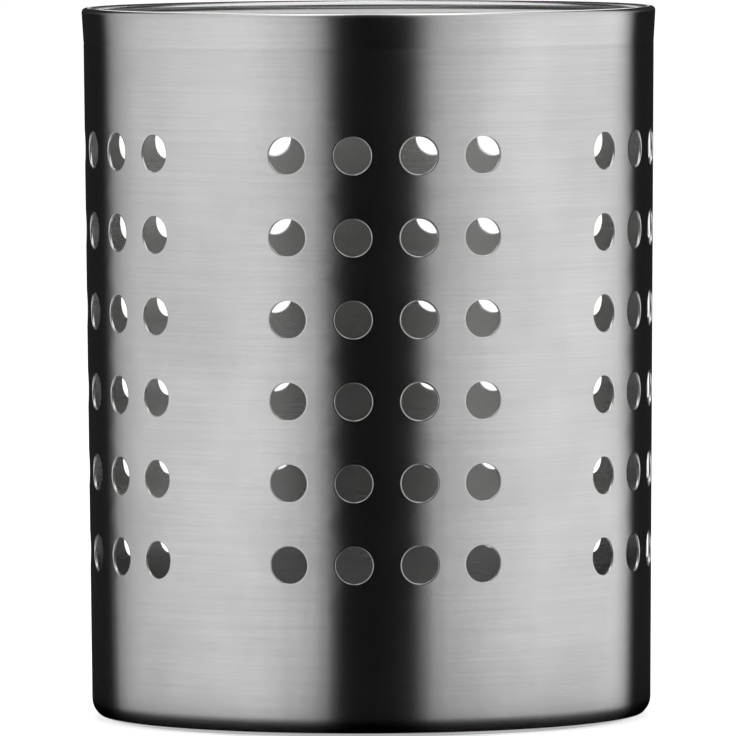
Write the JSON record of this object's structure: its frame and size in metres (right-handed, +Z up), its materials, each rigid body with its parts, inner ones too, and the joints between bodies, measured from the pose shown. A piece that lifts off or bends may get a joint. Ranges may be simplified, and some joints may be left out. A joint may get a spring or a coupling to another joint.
{
  "type": "cutlery caddy",
  "caption": "Round open-topped steel cutlery caddy: a wall with groups of punched round holes, a curled rim and a turned-in foot, and a drained base pan inside.",
  "frame": {"origin": "centre of the circle that the caddy stands on, at the underside of the foot flange", "axes": "+Z up along the caddy's axis; -Y is the front, where one group of hole columns is centred; the wall's welded seam is at +Y"},
  "size_m": [0.109, 0.109, 0.135],
  "materials": {
    "wall_steel": "stainless steel, brushed round the wall",
    "pan_steel": "stainless steel, fine satin as rolled"
  },
  "bodies": {
    "root": {"perforated_wall": "wall_steel", "base_pan": "pan_steel"}
  },
  "joints": []
}
